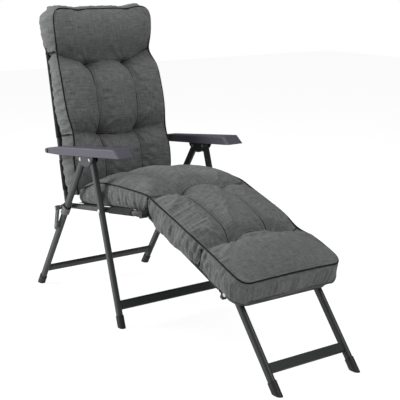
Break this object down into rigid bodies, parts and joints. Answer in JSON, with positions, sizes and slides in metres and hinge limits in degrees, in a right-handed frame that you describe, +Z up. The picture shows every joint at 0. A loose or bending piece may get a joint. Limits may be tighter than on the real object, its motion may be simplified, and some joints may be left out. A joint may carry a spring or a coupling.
{
  "type": "folding sun lounger",
  "caption": "Folding sun lounger with a steel tube frame, moulded armrests, sliding back adjustment, a hinged leg rest on folding legs and a quilted pad.",
  "frame": {"origin": "on the floor, in the middle of the ground the lounger covers", "axes": "+Z up, +X to the sitter's left, -Y to the front, where the leg rest ends"},
  "size_m": [0.5758, 1.4976, 1.1516],
  "materials": {
    "frame_tube": "powder-coated steel tube in mid grey, satin",
    "rest_leg_tube": "powder-coated steel tube in darker grey, satin",
    "armrest_plastic": "moulded plastic in warm grey, fine grain",
    "foot_plastic": "moulded black plastic",
    "fitting_plastic": "moulded black nylon",
    "collar_plastic": "moulded grey nylon",
    "plate_steel": "powder-coated flat steel",
    "bolt_steel": "zinc-plated steel",
    "sling_fabric": "woven support fabric, near black",
    "pad_fabric": "heathered grey woven cover over foam"
  },
  "bodies": {
    "rear_legs": {"rear_leg_left": "frame_tube", "rear_leg_right": "frame_tube", "rear_foot_left": "foot_plastic", "rear_foot_right": "foot_plastic", "rear_crossbar": "frame_tube"},
    "armrests": {"armrest_left": "armrest_plastic", "armrest_right": "armrest_plastic", "arm_bracket_left": "frame_tube", "arm_bracket_right": "frame_tube", "bracket_screws": "bolt_steel", "leg_rivets": "bolt_steel", "armrest_bolts": "bolt_steel", "armrest_spacers": "fitting_plastic"},
    "front_legs": {"front_leg_left": "frame_tube", "front_leg_right": "frame_tube", "front_foot_left": "foot_plastic", "front_foot_right": "foot_plastic", "front_crossbar": "frame_tube"},
    "seat": {"seat_rail_left": "frame_tube", "seat_rail_right": "frame_tube", "back_hinge_plate_left": "plate_steel", "back_hinge_plate_right": "plate_steel", "seat_corner_left": "fitting_plastic", "seat_corner_right": "fitting_plastic", "seat_front_tube": "frame_tube", "seat_rear_tube": "frame_tube", "seat_pivot_bolts": "bolt_steel", "seat_spacers": "fitting_plastic", "collar_studs": "bolt_steel", "back_hinge_pins": "bolt_steel", "seat_sling": "sling_fabric", "cushion_seat": "pad_fabric"},
    "back": {"back_upright_left": "frame_tube", "back_upright_right": "frame_tube", "back_top_bend": "frame_tube", "back_sling": "sling_fabric", "cushion_back": "pad_fabric", "cushion_headrest": "pad_fabric"},
    "collars": {"collar_left": "collar_plastic", "collar_right": "collar_plastic", "collar_liners": "fitting_plastic", "collar_bolts": "bolt_steel"},
    "lever_left": {"lever_left": "collar_plastic"},
    "lever_right": {"lever_right": "collar_plastic"},
    "leg_rest": {"rest_rail_left": "frame_tube", "rest_rail_right": "frame_tube", "rest_end_bend": "frame_tube", "rest_hinge_left": "fitting_plastic", "rest_hinge_right": "fitting_plastic", "rest_leg_stop_left": "fitting_plastic", "rest_leg_stop_right": "fitting_plastic", "rest_leg_bolts": "bolt_steel", "rest_leg_spacers": "fitting_plastic", "rest_sling": "sling_fabric", "cushion_leg": "pad_fabric"},
    "rest_legs": {"rest_leg_left": "rest_leg_tube", "rest_leg_right": "rest_leg_tube", "rest_foot_left": "foot_plastic", "rest_foot_right": "foot_plastic", "rest_crossbar": "rest_leg_tube"}
  },
  "joints": [
    {"name": "armrest_turn", "type": "hinge", "parent": "rear_legs", "child": "armrests", "pos_m": [0, 0.32533, 0.597], "axis": [1, 0, 0], "range_deg": [-35.02, 12.34]},
    {"name": "front_legs_fold", "type": "hinge", "parent": "armrests", "child": "front_legs", "pos_m": [0, 0.25383, 0.605], "axis": [1, 0, 0], "range_deg": [-23.7, 67.6]},
    {"name": "seat_turn", "type": "hinge", "parent": "front_legs", "child": "seat", "pos_m": [0, 0.19566, 0.41978], "axis": [1, 0, 0], "range_deg": [-63.37, 22.28], "deforming": ["cushion_seat"]},
    {"name": "back_turn", "type": "hinge", "parent": "seat", "child": "back", "pos_m": [0, 0.54488, 0.37069], "axis": [1, 0, 0], "range_deg": [-20.19, 57.39], "deforming": ["cushion_back", "cushion_headrest"]},
    {"name": "collar_slide", "type": "slide", "parent": "rear_legs", "child": "collars", "axis": [0, 0.5589, -0.8292], "range_m": [-0.0476, 0.1354]},
    {"name": "leg_rest_turn", "type": "hinge", "parent": "seat", "child": "leg_rest", "pos_m": [0, -0.0526, 0.45467], "axis": [1, 0, 0], "range_deg": [-70, 0], "deforming": ["cushion_leg"]},
    {"name": "rest_legs_fold", "type": "hinge", "parent": "leg_rest", "child": "rest_legs", "pos_m": [0, -0.50009, 0.27494], "axis": [1, 0, 0], "range_deg": [0, 140]},
    {"name": "lever_left_swing", "type": "hinge", "parent": "collars", "child": "lever_left", "pos_m": [0.2789, 0.51305, 0.37216], "axis": [1, 0, 0], "range_deg": [0, 110]},
    {"name": "lever_right_swing", "type": "hinge", "parent": "collars", "child": "lever_right", "pos_m": [-0.2789, 0.51305, 0.37216], "axis": [1, 0, 0], "range_deg": [0, 110]}
  ],
  "couplings": [
    {"joint": "armrest_turn", "follows": "front_legs_fold", "ratio": -0.5166},
    {"joint": "seat_turn", "follows": "front_legs_fold", "ratio": -0.9359},
    {"joint": "back_turn", "follows": "front_legs_fold", "ratio": 0.8475},
    {"joint": "collar_slide", "follows": "front_legs_fold", "m_per_rad": 0.11459}
  ]
}
